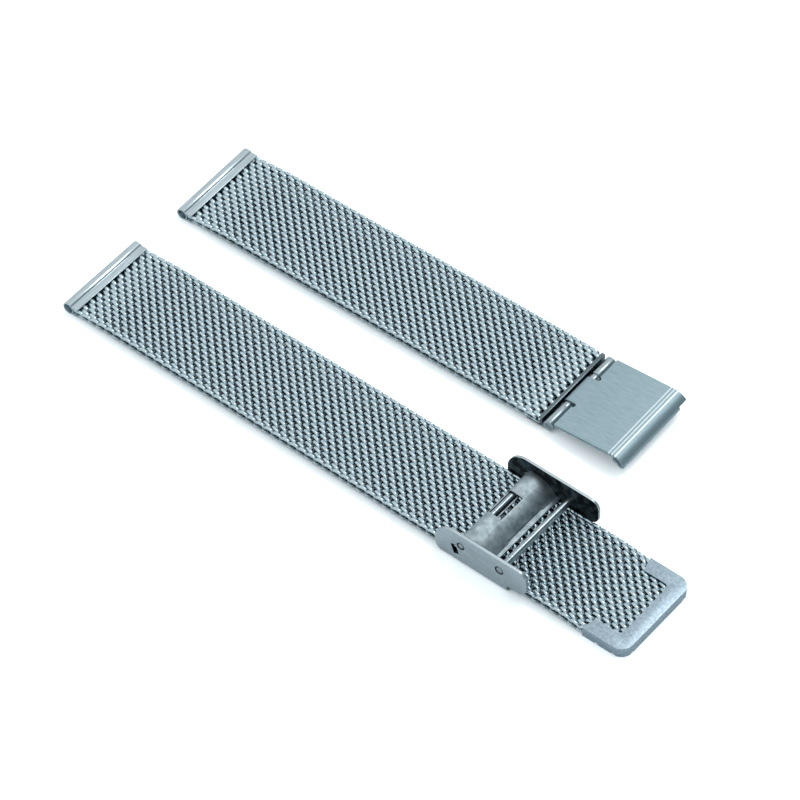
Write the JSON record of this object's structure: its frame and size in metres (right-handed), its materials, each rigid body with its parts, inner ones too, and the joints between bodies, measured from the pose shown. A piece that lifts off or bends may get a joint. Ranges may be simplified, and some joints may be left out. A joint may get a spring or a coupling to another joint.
{
  "type": "watch strap",
  "caption": "Woven steel mesh watch strap in two halves, one with a sliding clasp, locking cover and crossbar, the other with a hinged hook plate.",
  "frame": {"origin": "centre of the long half's lug tube bore, in the middle of its width", "axes": "+X along the long half from the lug tube to its tip, +Y across it towards the short half that lies beside it, +Z out of the face seen when worn"},
  "size_m": [0.1175, 0.0484, 0.0069],
  "materials": {
    "mesh_steel": "woven wire, satin",
    "tube_steel": "polished",
    "cap_steel": "satin",
    "clasp_steel": "matte satin",
    "cover_steel": "satin, polished over the roll",
    "pin_steel": "satin",
    "bar_steel": "polished",
    "hinge_steel": "polished",
    "plate_steel": "satin, brushed along its length"
  },
  "bodies": {
    "strap": {"long_lug_tube": "tube_steel", "long_mesh": "mesh_steel", "tip_cap": "cap_steel", "short_lug_tube": "tube_steel", "short_mesh": "mesh_steel", "hinge_fitting": "hinge_steel", "hinge_pin": "pin_steel", "near_hinge_bush": "pin_steel", "far_hinge_bush": "pin_steel"},
    "clasp": {"clasp_body": "clasp_steel", "cover_pivot_pin": "pin_steel", "crossbar": "bar_steel"},
    "cover": {"locking_cover": "cover_steel"},
    "hook": {"hook_plate": "plate_steel"}
  },
  "joints": [
    {"name": "clasp_slide", "type": "slide", "parent": "strap", "child": "clasp", "axis": [1, 0, 0], "range_m": [-0.064, 0.0105]},
    {"name": "cover_pivot", "type": "hinge", "parent": "clasp", "child": "cover", "pos_m": [0.08415, 0, 0.00325], "axis": [0, -1, 0], "range_deg": [0, 100]},
    {"name": "hook_hinge", "type": "hinge", "parent": "strap", "child": "hook", "pos_m": [0.07819, 0.02959, 0.00042], "axis": [0.0192, -0.9998, 0], "range_deg": [-80, 85]}
  ]
}
